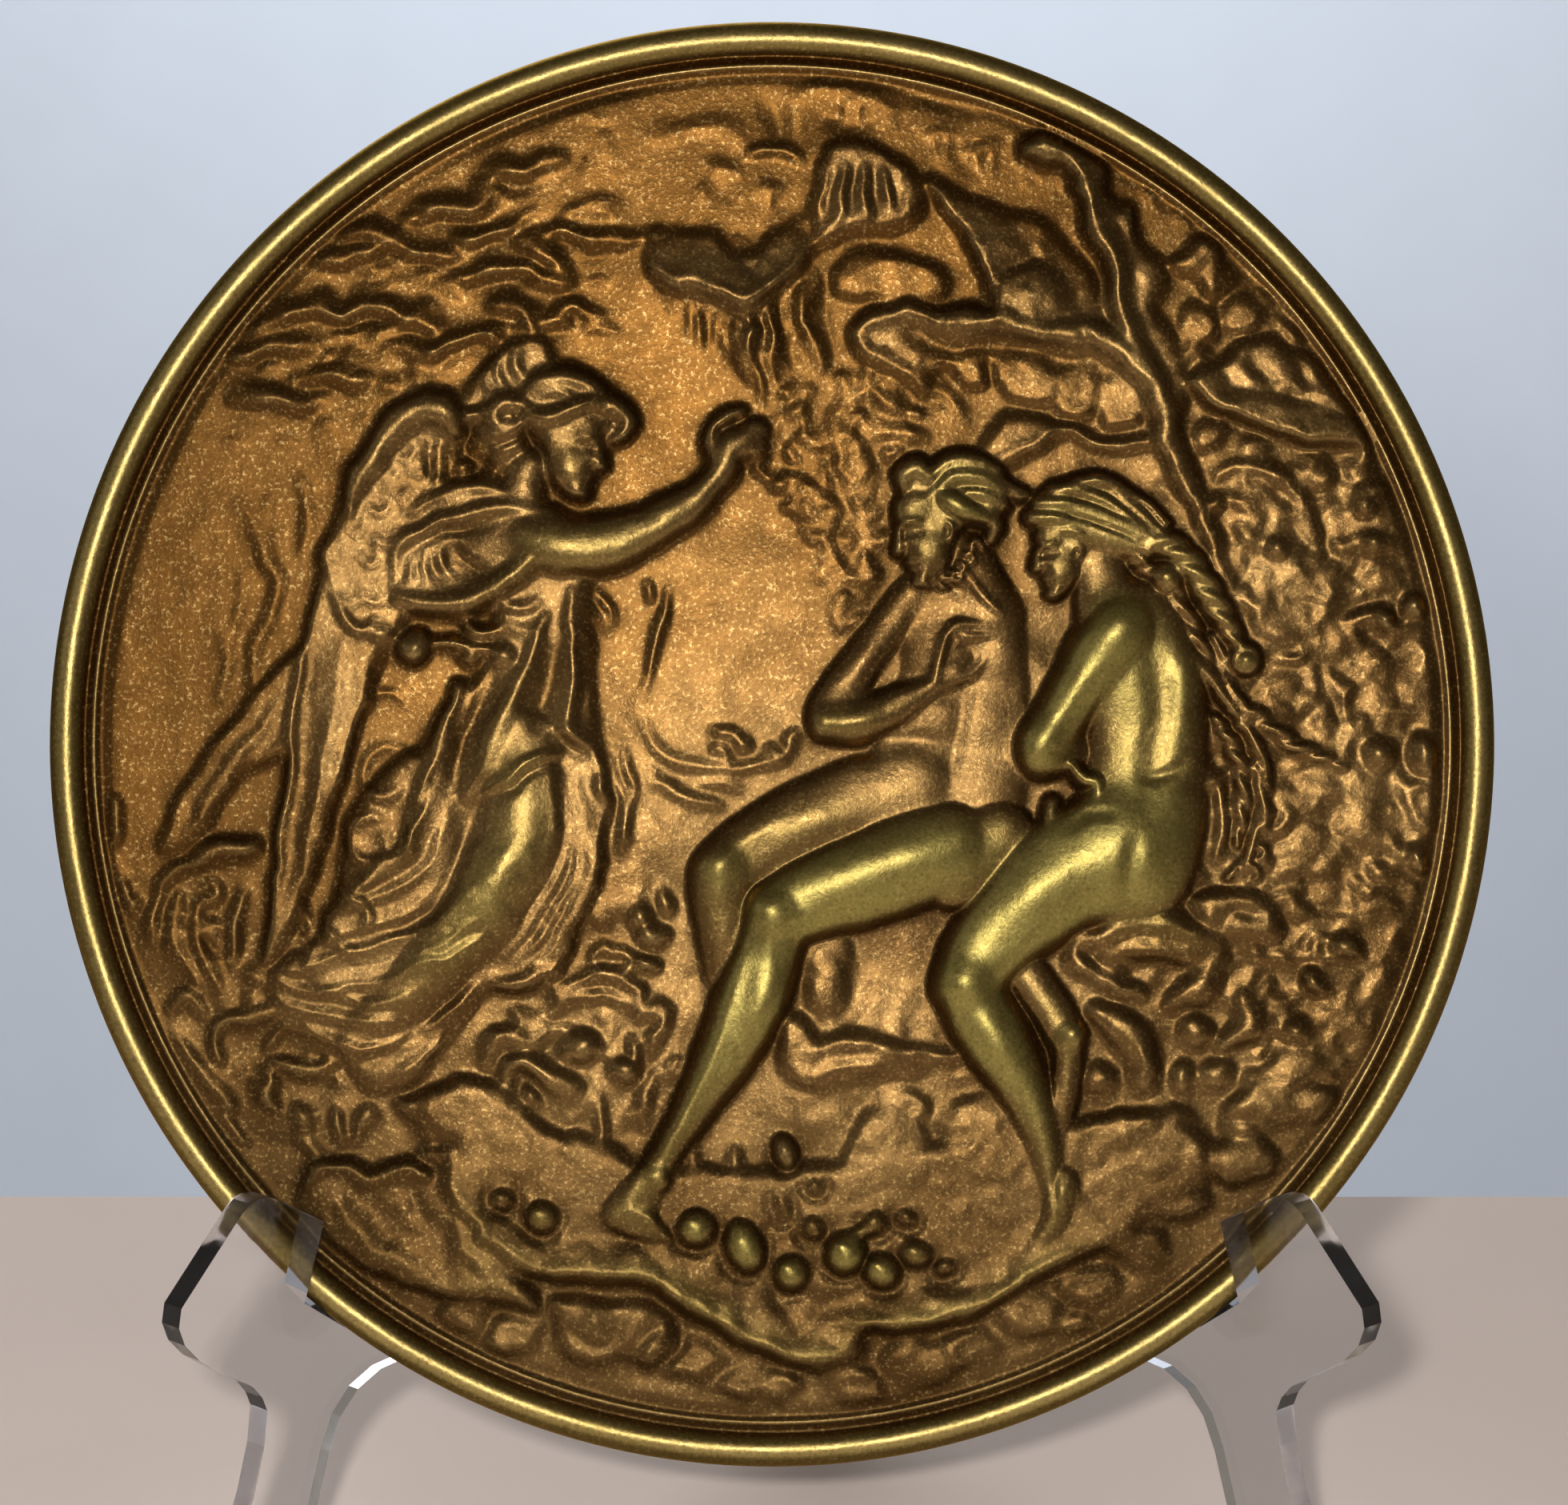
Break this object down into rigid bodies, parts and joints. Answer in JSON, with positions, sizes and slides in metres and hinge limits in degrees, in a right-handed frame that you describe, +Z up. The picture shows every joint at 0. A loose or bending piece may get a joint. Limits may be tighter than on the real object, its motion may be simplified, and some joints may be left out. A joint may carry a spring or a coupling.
{
  "type": "relief plaque on an easel",
  "caption": "Round cast bronze relief plaque with a figure scene inside a round bead rim, leaning on a clear two-part easel.",
  "frame": {"origin": "on the floor, at the middle of the whole object's footprint", "axes": "+Z up, the relief faces -Y and leans back 15 degrees, +X to the viewer's right"},
  "size_m": [0.2294, 0.1124, 0.2448],
  "materials": {
    "bronze": "cast bronze, brown patina rubbed to brass on the high forms",
    "clear_plastic": "clear moulded plastic, polished"
  },
  "bodies": {
    "root": {"plaque": "bronze", "stand_left": "clear_plastic", "stand_right": "clear_plastic"}
  },
  "joints": []
}
